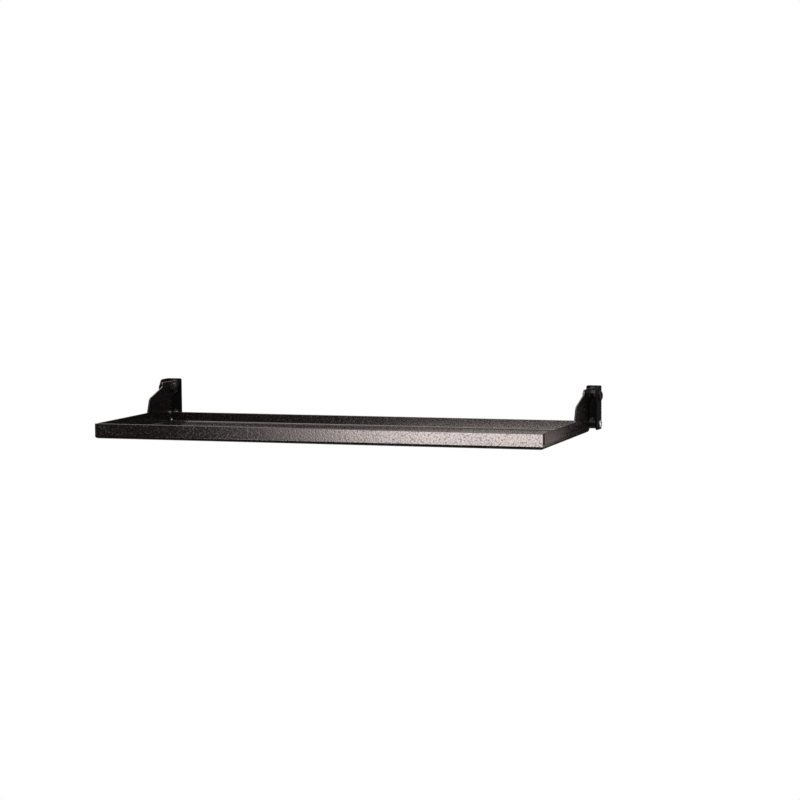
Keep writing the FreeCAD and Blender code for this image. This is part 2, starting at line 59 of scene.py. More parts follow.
# Rail brackets: two angles of 2 mm steel sheet, bent on a press brake and stoved in matt black
# enamel. Each slotted flange is screwed on flat, and the cheek stands forward to carry the bolts.
# The cut edges are eased, and the enamel is rubbed there.
BRACKETS = ["left_rail_bracket", "right_rail_bracket"]
MM = 0.001
MERGE_REACH = 0.001 * MM
FLAT_ANGLE = radians(0.5)
EDGE_ANGLE = radians(35)
LEAST_RIM = 0.7 * MM
EASE_STEPS = 3
ROUND_PROFILE = 0.5
EASED_FINISH = 1
FLAT_WEIGHT = 100
CLOUD_DETAIL = 3.0
CLOUD_START = 0.35
CLOUD_FULL = 0.7
ENAMEL_EASE = 0.3 * MM
ENAMEL_BLACK = "#050404"
ENAMEL_HAZE = "#0d0b0b"
ENAMEL_RUBBED = "#1e1a1a"
ENAMEL_ROUGHNESS = (0.6, 0.78)
RUBBED_ENAMEL_ROUGHNESS = (0.5, 0.66)
ENAMEL_PEEL = 3.5 * MM
ENAMEL_RIPPLE = 0.012 * MM


def linear(code):
    """The linear colour of an sRGB hex code, with alpha."""
    parts = [int(code[start:start + 2], 16) / 255 for start in (1, 3, 5)]
    return [part / 12.92 if part <= 0.04045 else ((part + 0.055) / 1.055) ** 2.4
            for part in parts] + [1]


def add(tree, kind, links, **settings):
    """A node with its settings. Each input in links gets a value, or a link from a socket."""
    node = tree.nodes.new(kind)
    for name, value in settings.items():
        setattr(node, name, value)
    for name, value in links.items():
        if isinstance(value, bpy.types.NodeSocket):
            tree.links.new(value, node.inputs[name])
        else:
            node.inputs[name].default_value = value
    return node


def new_material(name):
    """An empty material, its node tree and the point of the surface in the object's frame."""
    material = bpy.data.materials.new(name)
    material.use_nodes = True
    tree = material.node_tree
    tree.nodes.clear()
    return material, tree, add(tree, "ShaderNodeTexCoord", {}).outputs["Object"]


def clouded_finish(name, colours, roughness, cloud, relief, shading):
    """A finish whose colour and roughness drift from a first value to a second one in clouds of
    one size, which stand out by a small relief. Shading holds the values that are even."""
    material, tree, point = new_material(name)
    noise = add(tree, "ShaderNodeTexNoise",
                {"Vector": point, "Scale": 1 / cloud, "Detail": CLOUD_DETAIL})
    drift = noise.outputs["Fac"]
    share = add(tree, "ShaderNodeMapRange",
                {"Value": drift, "From Min": CLOUD_START, "From Max": CLOUD_FULL})
    colour = add(tree, "ShaderNodeMix",
                 {"Factor": share.outputs["Result"], "A": linear(colours[0]), "B": linear(colours[1])},
                 data_type="RGBA")
    gloss = add(tree, "ShaderNodeMapRange",
                {"Value": drift, "To Min": roughness[0], "To Max": roughness[1]})
    bump = add(tree, "ShaderNodeBump", {"Strength": 1.0, "Distance": relief, "Height": drift})
    shader = add(tree, "ShaderNodeBsdfPrincipled",
                 {"Base Color": colour.outputs["Result"], "Roughness": gloss.outputs["Result"],
                  "Normal": bump.outputs["Normal"], **shading})
    add(tree, "ShaderNodeOutputMaterial", {"Surface": shader.outputs["BSDF"]})
    return material


def ease_square_edges(sheet, ease, least_height):
    """Rounds the square outer edges of a sheet that reach a least height, and gives the rounded
    strips the second material. Other edges stay as they were cut, and the sharp ones look so."""
    rims = []
    for edge in sheet.edges:
        turn = edge.calc_face_angle()
        square = edge.is_convex and abs(turn - pi / 2) < EDGE_ANGLE
        high = max(vertex.co.z for vertex in edge.verts) >= least_height
        if square and high and edge.calc_length() > LEAST_RIM:
            rims.append(edge)
        else:
            edge.smooth = turn < EDGE_ANGLE
    bmesh.ops.bevel(sheet, geom=rims, affect="EDGES", offset=ease, segments=EASE_STEPS,
                    profile=ROUND_PROFILE, loop_slide=True, material=EASED_FINISH)
    bmesh.ops.remove_doubles(sheet, verts=sheet.verts, dist=MERGE_REACH)
    bmesh.ops.dissolve_degenerate(sheet, edges=sheet.edges, dist=MERGE_REACH)


def eased_copy(node, name, body, materials, ease, foot=0.0):
    """The sheet of a node with its square edges eased, in place of the node. Edges that lie no
    higher than the foot above its underside stay as they were cut."""
    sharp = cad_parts[node].data
    mesh = bpy.data.meshes.new(name)
    mesh.from_pydata([vertex.co for vertex in sharp.vertices], [],
                     [polygon.vertices for polygon in sharp.polygons])
    sheet = bmesh.new()
    sheet.from_mesh(mesh)
    bmesh.ops.remove_doubles(sheet, verts=sheet.verts, dist=MERGE_REACH)
    bmesh.ops.dissolve_limit(sheet, angle_limit=FLAT_ANGLE, verts=sheet.verts, edges=sheet.edges)
    sheet.normal_update()
    ease_square_edges(sheet, ease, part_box(node)[0].z + foot)
    for face in sheet.faces:
        face.smooth = True
    sheet.to_mesh(mesh)
    sheet.free()
    for material in materials:
        mesh.materials.append(material)
    piece = bpy.data.objects.new(name, mesh)
    bpy.context.scene.collection.objects.link(piece)
    flats = piece.modifiers.new("flat faces", "WEIGHTED_NORMAL")
    flats.weight = FLAT_WEIGHT
    flats.keep_sharp = True
    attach(piece, body)
    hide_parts(node)


# Stoved enamel: sprayed and baked to a matt black that swallows light, with the faint long ripple
# of wet paint.
ENAMEL_SHADING = {"IOR": 1.5, "Specular IOR Level": 0.15}
enamel = clouded_finish("stoved_black_enamel", (ENAMEL_BLACK, ENAMEL_HAZE), ENAMEL_ROUGHNESS,
                        ENAMEL_PEEL, ENAMEL_RIPPLE, ENAMEL_SHADING)
rubbed_enamel = clouded_finish("rubbed_enamel_edge", (ENAMEL_BLACK, ENAMEL_RUBBED),
                               RUBBED_ENAMEL_ROUGHNESS, ENAMEL_PEEL, ENAMEL_RIPPLE, ENAMEL_SHADING)
for bracket in BRACKETS:
    eased_copy(bracket, f"{bracket}_sheet", "rail_brackets",
               [enamel, rubbed_enamel], ENAMEL_EASE)


# Rack washers: four flat washers moulded in black acetal. They lie under the heads of the rack
# screws and spare the enamel of the flanges.
RACK_PLACES = [f"{side}_{level}" for side in ("left", "right") for level in ("lower", "upper")]
RACK_WASHER_BORE = 2.6
RACK_WASHER_EASE = 0.2
TURN_STEPS = 48
ACETAL_BLACK = "#121213"
ACETAL_GREY = "#1f1f20"
ACETAL_ROUGHNESS = (0.34, 0.52)
ACETAL_GRAIN = 0.5 * MM
ACETAL_RELIEF = 0.008 * MM


def turned(name, rows, closed=False):
    """A mesh turned about Z through rows of reach and height in millimetres, where a reach or
    a height may depend on the angle."""
    shape = bmesh.new()
    rings = []
    for reach, height in rows:
        ring = []
        for step in range(TURN_STEPS):
            angle = 2 * pi * step / TURN_STEPS
            out = reach(angle) if callable(reach) else reach
            up = height(angle) if callable(height) else height
            ring.append(shape.verts.new((out * cos(angle) * MM, out * sin(angle) * MM, up * MM)))
        rings.append(ring)
    following = rings[1:] + rings[:1] if closed else rings[1:]
    for ring, other in zip(rings, following):
        for step in range(TURN_STEPS):
            beside = (step + 1) % TURN_STEPS
            shape.faces.new((ring[step], ring[beside], other[beside], other[step]))
    bmesh.ops.remove_doubles(shape, verts=shape.verts, dist=MERGE_REACH)
    bmesh.ops.recalc_face_normals(shape, faces=shape.faces)
    mesh = bpy.data.meshes.new(name)
    shape.to_mesh(mesh)
    shape.free()
    return mesh


def ring_rows(bore, outside, length, ease):
    """The section of a ring or tube with small chamfers on all its edges."""
    return [(bore + ease, 0), (outside - ease, 0), (outside, ease), (outside, length - ease),
            (outside - ease, length), (bore + ease, length), (bore, length - ease), (bore, ease)]


# A tree that sets one part out on a row of places. Each copy is turned from upright to the way
# the right-hand one faces and spun by chance about its own axis, and with Handed at 1 the
# left-hand copies face the other way.
set_out_tree = bpy.data.node_groups.new("set_out_fasteners", "GeometryNodeTree")
for label, kind in (("Places", "Geometry"), ("Part", "Object"), ("Turn", "Vector"),
                    ("Handed", "Float"), ("Spin", "Float"), ("Seed", "Int"), ("Finish", "Material")):
    set_out_tree.interface.new_socket(label, in_out="INPUT", socket_type=f"NodeSocket{kind}")
set_out_tree.interface.new_socket("Fasteners", in_out="OUTPUT", socket_type="NodeSocketGeometry")
given = add(set_out_tree, "NodeGroupInput", {}).outputs
part_info = add(set_out_tree, "GeometryNodeObjectInfo", {"Object": given["Part"]})
facing = add(set_out_tree, "FunctionNodeEulerToRotation", {"Euler": given["Turn"]})
chance = add(set_out_tree, "FunctionNodeRandomValue", {"Max": given["Spin"], "Seed": given["Seed"]})
spin_angle = add(set_out_tree, "ShaderNodeCombineXYZ", {"Z": chance.outputs["Value"]})
spin = add(set_out_tree, "FunctionNodeEulerToRotation", {"Euler": spin_angle.outputs["Vector"]})
spun = add(set_out_tree, "FunctionNodeRotateRotation",
           {"Rotation": facing.outputs["Rotation"], "Rotate By": spin.outputs["Rotation"]},
           rotation_space="LOCAL")
where = add(set_out_tree, "GeometryNodeInputPosition", {})
where_parts = add(set_out_tree, "ShaderNodeSeparateXYZ", {"Vector": where.outputs["Position"]})
on_left = add(set_out_tree, "ShaderNodeMath", {0: where_parts.outputs["X"], 1: 0.0},
              operation="LESS_THAN")
half_turns = add(set_out_tree, "ShaderNodeMath", {0: on_left.outputs["Value"], 1: given["Handed"]},
                 operation="MULTIPLY")
half_angle = add(set_out_tree, "ShaderNodeMath", {0: half_turns.outputs["Value"], 1: pi},
                 operation="MULTIPLY")
hand_angle = add(set_out_tree, "ShaderNodeCombineXYZ", {"Z": half_angle.outputs["Value"]})
hand = add(set_out_tree, "FunctionNodeEulerToRotation", {"Euler": hand_angle.outputs["Vector"]})
handed = add(set_out_tree, "FunctionNodeRotateRotation",
             {"Rotation": spun.outputs["Rotation"], "Rotate By": hand.outputs["Rotation"]},
             rotation_space="GLOBAL")
copies = add(set_out_tree, "GeometryNodeInstanceOnPoints",
             {"Points": given["Places"], "Instance": part_info.outputs["Geometry"],
              "Rotation": handed.outputs["Rotation"]})
whole = add(set_out_tree, "GeometryNodeRealizeInstances", {"Geometry": copies.outputs["Instances"]})
finished = add(set_out_tree, "GeometryNodeSetMaterial",
               {"Geometry": whole.outputs["Geometry"], "Material": given["Finish"]})
add(set_out_tree, "NodeGroupOutput", {"Fasteners": finished.outputs["Geometry"]})
SET_OUT_SOCKETS = {item.name: item.identifier for item in set_out_tree.interface.items_tree}

FACING_FRONT = (radians(90), 0, 0)
FACING_OUT = (0, radians(90), 0)
FACING_IN = (0, radians(-90), 0)


def set_out(name, mesh, places, turn, finish, handed=1.0, spin=0.0, seed=0):
    """Copies of a part on the places, as one plain mesh at the origin."""
    part = bpy.data.objects.new(f"{name}_part", mesh)
    rows = bpy.data.meshes.new(f"{name}_places")
    rows.from_pydata(places, [], [])
    piece = bpy.data.objects.new(name, rows)
    bpy.context.scene.collection.objects.link(part)
    bpy.context.scene.collection.objects.link(piece)
    modifier = piece.modifiers.new("set out", "NODES")
    modifier.node_group = set_out_tree
    for label, value in (("Part", part), ("Turn", turn), ("Handed", handed), ("Spin", spin),
                         ("Seed", seed), ("Finish", finish)):
        modifier[SET_OUT_SOCKETS[label]] = value
    evaluated = piece.evaluated_get(bpy.context.evaluated_depsgraph_get())
    result = bpy.data.meshes.new_from_object(evaluated)
    piece.modifiers.clear()
    piece.data = result
    result.shade_smooth()
    result.set_sharp_from_angle(angle=EDGE_ANGLE)
    bpy.data.objects.remove(part)
    return piece


def fasten(piece, body, nodes=()):
    """A row of fasteners rides on a body, in place of its nodes if it has any."""
    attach(piece, body)
    if nodes:
        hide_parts(*nodes)


def middle(node):
    """The middle of a node's box."""
    low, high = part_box(node)
    return (low + high) / 2


# Moulded acetal: a black plastic, faintly waxy, with the grain of a spark-eroded mould. The real
# grain, about a tenth of a millimetre, is drawn five times as coarse so that it shows.
acetal = clouded_finish("moulded_black_acetal", (ACETAL_BLACK, ACETAL_GREY), ACETAL_ROUGHNESS,
                        ACETAL_GRAIN, ACETAL_RELIEF, {"IOR": 1.48})
washer_nodes = [f"{place}_rack_washer" for place in RACK_PLACES]
washer_low, washer_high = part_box(washer_nodes[0])
washer_radius = (washer_high.x - washer_low.x) / 2 / MM
washer_thick = (washer_high.y - washer_low.y) / MM
washer_seats = [(middle(node).x, washer_high.y, middle(node).z) for node in washer_nodes]
rack_washer = turned("rack_washer", ring_rows(RACK_WASHER_BORE, washer_radius, washer_thick,
                                              RACK_WASHER_EASE), closed=True)
fasten(set_out("rack_washers", rack_washer, washer_seats, FACING_FRONT, acetal, handed=0.0),
       "rail_brackets", washer_nodes)


# Rack screws: four M5 button-head socket screws of blackened steel, put in from the front through
# washer and slot. A plain neck fills the slot, and the rolled thread starts behind the flange.
OXIDE_BLACK = "#2a2829"
OXIDE_BROWN = "#3d3836"
OXIDE_ROUGHNESS = (0.28, 0.5)
OXIDE_MOTTLE = 3.0 * MM
OXIDE_RELIEF = 0.002 * MM
KEY_LEAD = 0.25
DRILL_SHARE = 1 / 6
DOME_STEPS = 7
RIM_SHARE = 0.2
THREAD_STEPS = 6
THREAD_DEPTH = 0.61
TIP_TAPER = 0.7
KEY_SPIN = pi / 3


def hexagon(flats):
    """How far a hexagon reaches from its middle, by angle."""
    return lambda angle: flats / 2 / cos(angle % (pi / 3) - pi / 6)


def thread_rows(radius, pitch, top, bottom):
    """Rows of a right-hand thread from one height down to another."""
    depth = THREAD_DEPTH * pitch

    def groove(height):
        return lambda angle: radius - depth * abs(2 * ((height / pitch + angle / (2 * pi)) % 1) - 1)

    count = round((top - bottom) / pitch * THREAD_STEPS)
    heights = [top + (bottom - top) * step / count for step in range(count + 1)]
    return [(groove(height), height) for height in heights]


def button_screw(name, *, head, rise, key, key_depth, shank, shank_end, thread, length, pitch):
    """A socket screw on Z with its seat at zero and its head up, in millimetres: a domed head
    with a hexagonal key recess, a plain shank, a thread and a tapered tip. Head and key are
    widths, shank and thread are radii, and shank_end and length are reached below the seat."""
    key_corner = key / sqrt(3)
    crown = key_corner + 2 * KEY_LEAD
    rim = RIM_SHARE * rise
    floor = rise - key_depth
    rows = [(0, floor - DRILL_SHARE * key), (hexagon(key), floor), (hexagon(key), rise - KEY_LEAD),
            (key_corner + KEY_LEAD / 2, rise)]
    for step in range(DOME_STEPS + 1):
        lean = pi / 2 * (1 - step / DOME_STEPS)
        rows.append((crown + (head / 2 - crown) * cos(lean), rim + (rise - rim) * sin(lean)))
    rows += [(head / 2, KEY_LEAD / 2), (head / 2 - KEY_LEAD / 2, 0), (shank + KEY_LEAD, 0),
             (shank, -KEY_LEAD), (shank, -shank_end)]
    rows += thread_rows(thread, pitch, -shank_end - pitch / 2, -length + pitch)
    rows += [(thread - TIP_TAPER * pitch, -length), (0, -length)]
    return turned(name, rows)


# Black oxide: steel dipped in a hot salt bath and oiled. It stays a metal, very dark, with a
# brownish bloom and a soft oily gloss.
oxide = clouded_finish("oiled_black_oxide_steel", (OXIDE_BLACK, OXIDE_BROWN), OXIDE_ROUGHNESS,
                       OXIDE_MOTTLE, OXIDE_RELIEF, {"Metallic": 1.0})
screw_nodes = [f"{place}_rack_screw" for place in RACK_PLACES]
screw_seats = [(middle(node).x, washer_low.y, middle(node).z) for node in screw_nodes]
rack_screw = button_screw("rack_screw", head=9.5, rise=2.75, key=3.0, key_depth=1.5, shank=2.1,
                          shank_end=3.5, thread=2.5, length=14.0, pitch=0.8)
fasten(set_out("rack_screws", rack_screw, screw_seats, FACING_FRONT, oxide, handed=0.0,
               spin=KEY_SPIN, seed=4),
       "rail_brackets", screw_nodes)


# Tray pan: one 1.5 mm steel sheet, folded up on four sides with an ear standing on each side, and
# coated with textured black powder. It hangs on the pivot bolts by the bushes in its ears. The cut
# edges are eased and rubbed, apart from those low in its corners.
COAT_EASE = 0.5 * MM
COAT_FOOT = 5.5 * MM
COAT_DARK = "#060404"
COAT_BROWN = "#0a0707"
COAT_FLECK = "#221919"
COAT_RUBBED = "#332a2a"
COAT_SHEEN = "#fff1ee"
COAT_ROUGHNESS = (0.1, 0.14)
RUBBED_COAT_ROUGHNESS = (0.28, 0.4)
HOLLOW_ROUGHNESS = 0.25
COAT_GRAIN = 1.8 * MM
COAT_PEEL = 2.6 * MM
PEEL_DETAIL = 2.0
PEEL_SHARE = 0.3
COAT_RELIEF = 0.035 * MM
COAT_BLOTCH = 38 * MM
BLOTCH_DETAIL = 4.0
BLOTCH_START = 0.3
BLOTCH_FULL = 0.7
BROWN_START = 0.36
FLECK_START = 0.54
FLECK_FULL = 0.72


# Textured powder coat: sprayed dry and baked, so the skin sets to a sandy grain. The grains catch
# the light one by one with a warm sheen, and are brown where the black is thin. The real grain,
# under a millimetre, is drawn at nearly two so that it shows.
def textured_powder_coat(name, fleck, roughness):
    material, tree, point = new_material(name)
    grain = add(tree, "ShaderNodeTexVoronoi", {"Vector": point, "Scale": 1 / COAT_GRAIN})
    peel = add(tree, "ShaderNodeTexNoise",
               {"Vector": point, "Scale": 1 / COAT_PEEL, "Detail": PEEL_DETAIL})
    blotch = add(tree, "ShaderNodeTexNoise",
                 {"Vector": point, "Scale": 1 / COAT_BLOTCH, "Detail": BLOTCH_DETAIL})
    off_tip = grain.outputs["Distance"]
    fall = add(tree, "ShaderNodeMath", {0: off_tip, 1: off_tip}, operation="MULTIPLY")
    wave = add(tree, "ShaderNodeMath", {0: peel.outputs["Fac"], 1: PEEL_SHARE}, operation="MULTIPLY")
    relief = add(tree, "ShaderNodeMath", {0: wave.outputs["Value"], 1: fall.outputs["Value"]},
                 operation="SUBTRACT")
    bump = add(tree, "ShaderNodeBump", {"Strength": 1.0, "Distance": COAT_RELIEF,
                                        "Height": relief.outputs["Value"]})
    thin = add(tree, "ShaderNodeMapRange",
               {"Value": peel.outputs["Fac"], "From Min": BROWN_START, "From Max": FLECK_START})
    tips = add(tree, "ShaderNodeMapRange",
               {"Value": peel.outputs["Fac"], "From Min": FLECK_START, "From Max": FLECK_FULL})
    black = add(tree, "ShaderNodeMix",
                {"Factor": thin.outputs["Result"], "A": linear(COAT_DARK), "B": linear(COAT_BROWN)},
                data_type="RGBA")
    colour = add(tree, "ShaderNodeMix",
                 {"Factor": tips.outputs["Result"], "A": black.outputs["Result"], "B": linear(fleck)},
                 data_type="RGBA")
    gloss = add(tree, "ShaderNodeMapRange",
                {"Value": blotch.outputs["Fac"], "From Min": BLOTCH_START, "From Max": BLOTCH_FULL,
                 "To Min": roughness[0], "To Max": roughness[1]})
    rough = add(tree, "ShaderNodeMath",
                {0: fall.outputs["Value"], 1: HOLLOW_ROUGHNESS, 2: gloss.outputs["Result"]},
                operation="MULTIPLY_ADD")
    shader = add(tree, "ShaderNodeBsdfPrincipled",
                 {"Base Color": colour.outputs["Result"], "Roughness": rough.outputs["Value"],
                  "IOR": 1.75, "Specular IOR Level": 0.7, "Specular Tint": linear(COAT_SHEEN),
                  "Normal": bump.outputs["Normal"]})
    add(tree, "ShaderNodeOutputMaterial", {"Surface": shader.outputs["BSDF"]})
    return material


powder_coat = textured_powder_coat("textured_black_powder_coat", COAT_FLECK, COAT_ROUGHNESS)
rubbed_coat = textured_powder_coat("rubbed_powder_coat_edge", COAT_RUBBED, RUBBED_COAT_ROUGHNESS)
eased_copy("tray_pan", "tray_pan_sheet", "tray", [powder_coat, rubbed_coat],
           COAT_EASE, COAT_FOOT)


# Pivot bushes: flanged bushes moulded in black acetal and pressed into the ears. They turn on the
# bolts, and the flange keeps the ear off the spacer.
BUSH_BORE = 3.05
BUSH_BODY = 4.05
BUSH_FLANGE = 6.0
FLANGE_THICK = 1.0
BUSH_EASE = 0.2


def both_sides(x, node):
    """Two seats, mirrored across the tray, on the axis of a right-hand node."""
    axis = middle(node)
    return [(side * x, axis.y, axis.z) for side in (-1, 1)]


def pair(part):
    """The left-hand and the right-hand node of a part."""
    return [f"{side}_{part}" for side in ("left", "right")]


bush_low, bush_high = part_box("right_pivot_bush")
bush_length = (bush_high.x - bush_low.x) / MM
bush = turned("pivot_bush", [
    (BUSH_BORE + BUSH_EASE, 0), (BUSH_FLANGE - BUSH_EASE, 0), (BUSH_FLANGE, BUSH_EASE),
    (BUSH_FLANGE, FLANGE_THICK - BUSH_EASE), (BUSH_FLANGE - BUSH_EASE, FLANGE_THICK),
    (BUSH_BODY, FLANGE_THICK), (BUSH_BODY, bush_length - BUSH_EASE),
    (BUSH_BODY - BUSH_EASE, bush_length), (BUSH_BORE + BUSH_EASE, bush_length),
    (BUSH_BORE, bush_length - BUSH_EASE), (BUSH_BORE, BUSH_EASE)], closed=True)
fasten(set_out("pivot_bushes", bush, both_sides(bush_high.x, "right_pivot_bush"), FACING_IN, acetal),
       "tray", pair("pivot_bush"))


# Pivot spacers: short hexagonal spacers of blackened steel on the pivot bolts, turned from bar.
# They hold the cheek and the bush apart.
SPACER_FLATS = 10.0
SPACER_BORE = 3.1
SPACER_LEAD = 0.2
CORNER_SLOPE = tan(radians(30))
FACE_SHARE = 0.94


def hexagon_ends(flats, low, high):
    """Rows of the outside of a hexagon bar, with its corners turned off at both ends."""
    face = FACE_SHARE * flats / 2
    reach = hexagon(flats)
    return [(face, low), (reach, lambda angle: low + (reach(angle) - face) * CORNER_SLOPE),
            (reach, lambda angle: high - (reach(angle) - face) * CORNER_SLOPE), (face, high)]


spacer_low, spacer_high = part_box("right_pivot_spacer")
spacer_length = (spacer_high.x - spacer_low.x) / MM
spacer = turned("pivot_spacer", [
    (SPACER_BORE + SPACER_LEAD, 0), *hexagon_ends(SPACER_FLATS, 0, spacer_length),
    (SPACER_BORE + SPACER_LEAD, spacer_length), (SPACER_BORE, spacer_length - SPACER_LEAD),
    (SPACER_BORE, SPACER_LEAD)], closed=True)
fasten(set_out("pivot_spacers", spacer, both_sides(spacer_high.x, "right_pivot_spacer"), FACING_IN,
               oxide, spin=KEY_SPIN, seed=9),
       "rail_brackets", pair("pivot_spacer"))


# Pivot bolts: two M6 button-head socket screws of blackened steel, put in from outside through
# cheek, spacer and bush. The thread starts just before the nut.
THREAD_LEAD = 1.0
cheek_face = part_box("right_rail_bracket")[1].x
bolt_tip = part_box("right_pivot_bolt")[0].x
nut_low, nut_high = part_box("right_pivot_nut")
pivot_bolt = button_screw("pivot_bolt", head=10.5, rise=3.3, key=4.0, key_depth=2.0, shank=3.0,
                          shank_end=(cheek_face - nut_high.x) / MM - THREAD_LEAD, thread=3.0,
                          length=(cheek_face - bolt_tip) / MM, pitch=1.0)
fasten(set_out("pivot_bolts", pivot_bolt, both_sides(cheek_face, "right_pivot_bolt"), FACING_OUT,
               oxide, spin=KEY_SPIN, seed=2),
       "rail_brackets", pair("pivot_bolt"))


# Pivot washers: flat punched washers of blackened steel, between the bush and the nut. The punch
# rounds one rim and leaves the other one square.
WASHER_BORE = 3.1
WASHER_RIM = 6.0
WASHER_THICK = 1.0
PUNCH_ROUND = 0.35
PUNCH_STEPS = 3
washer_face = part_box("right_pivot_washer")[1].x
punch_leans = [pi / 2 * step / PUNCH_STEPS for step in range(PUNCH_STEPS + 1)]
rim_rows = [(WASHER_RIM - PUNCH_ROUND * (1 - cos(lean)), WASHER_THICK - PUNCH_ROUND * (1 - sin(lean)))
            for lean in punch_leans]
bore_rows = [(WASHER_BORE + PUNCH_ROUND * (1 - sin(lean)), WASHER_THICK - PUNCH_ROUND * (1 - cos(lean)))
             for lean in punch_leans]
pivot_washer = turned("pivot_washer", [(WASHER_BORE, 0), (WASHER_RIM, 0), *rim_rows, *bore_rows],
                      closed=True)
fasten(set_out("pivot_washers", pivot_washer, both_sides(washer_face, "right_pivot_washer"), FACING_IN,
               oxide),
       "rail_brackets", pair("pivot_washer"))


# Pivot nuts: thin lock nuts of blackened steel with a ring of black plastic crimped under the
# collar. The ring grips the thread, so the nut stays where it gives the tray its drag.
COLLAR_HEIGHT = 1.3
COLLAR_STEP = 0.45
COLLAR_WALL = 0.5
CRIMP = 0.6
CRIMP_STEPS = 3
NUT_LEAD = 0.4
THREAD_ROOM = 0.05
INSERT_LEAD = 0.35
INSERT_SINK = 0.25


def lock_nut(name, *, flats, height, bore):
    """A lock nut on Z, standing on its seat, and the plastic ring in its collar."""
    hexagon_top = height - COLLAR_HEIGHT
    collar = flats / 2 - COLLAR_STEP
    pocket = collar - COLLAR_WALL
    inside = bore + THREAD_ROOM
    insert_top = height - INSERT_SINK
    crimp_leans = [pi / 2 * step / CRIMP_STEPS for step in range(CRIMP_STEPS + 1)]
    steel = turned(name, [
        (bore + NUT_LEAD, 0), *hexagon_ends(flats, 0, hexagon_top), (collar, hexagon_top + THREAD_ROOM),
        *[(collar - CRIMP * (1 - cos(lean)), height - CRIMP * (1 - sin(lean))) for lean in crimp_leans],
        (pocket, height - THREAD_ROOM), (pocket, hexagon_top), (inside, hexagon_top),
        (inside, NUT_LEAD)], closed=True)
    ring = turned(f"{name}_insert", [
        (inside, hexagon_top), (pocket, hexagon_top), (pocket, insert_top),
        (inside + INSERT_LEAD, insert_top), (inside, insert_top - INSERT_LEAD)], closed=True)
    return steel, ring


pivot_nut, pivot_insert = lock_nut("pivot_nut", flats=10.0, height=(nut_high.x - nut_low.x) / MM,
                                   bore=3.0)
nut_seats = both_sides(nut_high.x, "right_pivot_nut")
fasten(set_out("pivot_nuts", pivot_nut, nut_seats, FACING_IN, oxide, spin=KEY_SPIN, seed=6),
       "rail_brackets", pair("pivot_nut"))
fasten(set_out("pivot_nut_inserts", pivot_insert, nut_seats, FACING_IN, acetal),
       "rail_brackets")


# Stop sleeves: tubes of black acetal on the stop bolts. The rear edges of the ears lean on them
# when the tray is level.
SLEEVE_BORE = 2.1
SLEEVE_RADIUS = 4.0
SLEEVE_EASE = 0.3
sleeve_low, sleeve_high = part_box("right_stop_sleeve")
sleeve_length = (sleeve_high.x - sleeve_low.x) / MM
sleeve = turned("stop_sleeve", ring_rows(SLEEVE_BORE, SLEEVE_RADIUS, sleeve_length, SLEEVE_EASE),
                closed=True)
fasten(set_out("stop_sleeves", sleeve, both_sides(sleeve_high.x, "right_stop_sleeve"), FACING_IN, acetal),
       "rail_brackets", pair("stop_sleeve"))


# Stop bolts: two M4 button-head socket screws, bright zinc plated, put in from outside through
# cheek and sleeve.
ZINC_BLUE = "#cdd2d6"
ZINC_LIGHT = "#e6e8e8"
ZINC_ROUGHNESS = (0.32, 0.46)
ZINC_CLOUD = 2.5 * MM
ZINC_RELIEF = 0.002 * MM

# Bright zinc: plated in a barrel and passivated clear, so silver with a bluish cloud and dull
# where the barrel scuffed it.
zinc = clouded_finish("bright_zinc_plated_steel", (ZINC_BLUE, ZINC_LIGHT), ZINC_ROUGHNESS,
                      ZINC_CLOUD, ZINC_RELIEF, {"Metallic": 1.0})
stop_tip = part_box("right_stop_bolt")[0].x
stop_nut_low, stop_nut_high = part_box("right_stop_nut")
stop_bolt = button_screw("stop_bolt", head=7.6, rise=2.2, key=2.5, key_depth=1.3, shank=2.0,
                         shank_end=(cheek_face - stop_nut_high.x) / MM - THREAD_LEAD, thread=2.0,
                         length=(cheek_face - stop_tip) / MM, pitch=0.7)
fasten(set_out("stop_bolts", stop_bolt, both_sides(cheek_face, "right_stop_bolt"), FACING_OUT, zinc,
               spin=KEY_SPIN, seed=5),
       "rail_brackets", pair("stop_bolt"))


# Stop nuts: zinc plated lock nuts with the same plastic ring. They clamp the sleeves to the
# cheeks.
stop_nut, stop_insert = lock_nut("stop_nut", flats=7.0,
                                 height=(stop_nut_high.x - stop_nut_low.x) / MM, bore=2.0)
stop_nut_seats = both_sides(stop_nut_high.x, "right_stop_nut")
fasten(set_out("stop_nuts", stop_nut, stop_nut_seats, FACING_IN, zinc, spin=KEY_SPIN, seed=8),
       "rail_brackets", pair("stop_nut"))
fasten(set_out("stop_nut_inserts", stop_insert, stop_nut_seats, FACING_IN, acetal),
       "rail_brackets")


# Studio: a pale floor well below the hanging tray, feathered light in front, wide lights above,
# behind and on the right, a small card beside the right end, and a white surround. In gleams the
# surround is dark round the horizon, so that black stays black.
FLOOR_DROP = 1.0
FLOOR_RADIUS = 0.6
FLOOR_SIDES = 96
FLOOR_PALE = "#6f6e6c"
FADE_START = 0.3
NEAR_WHITE = 0.75
GLEAM_SHARE = 0.04


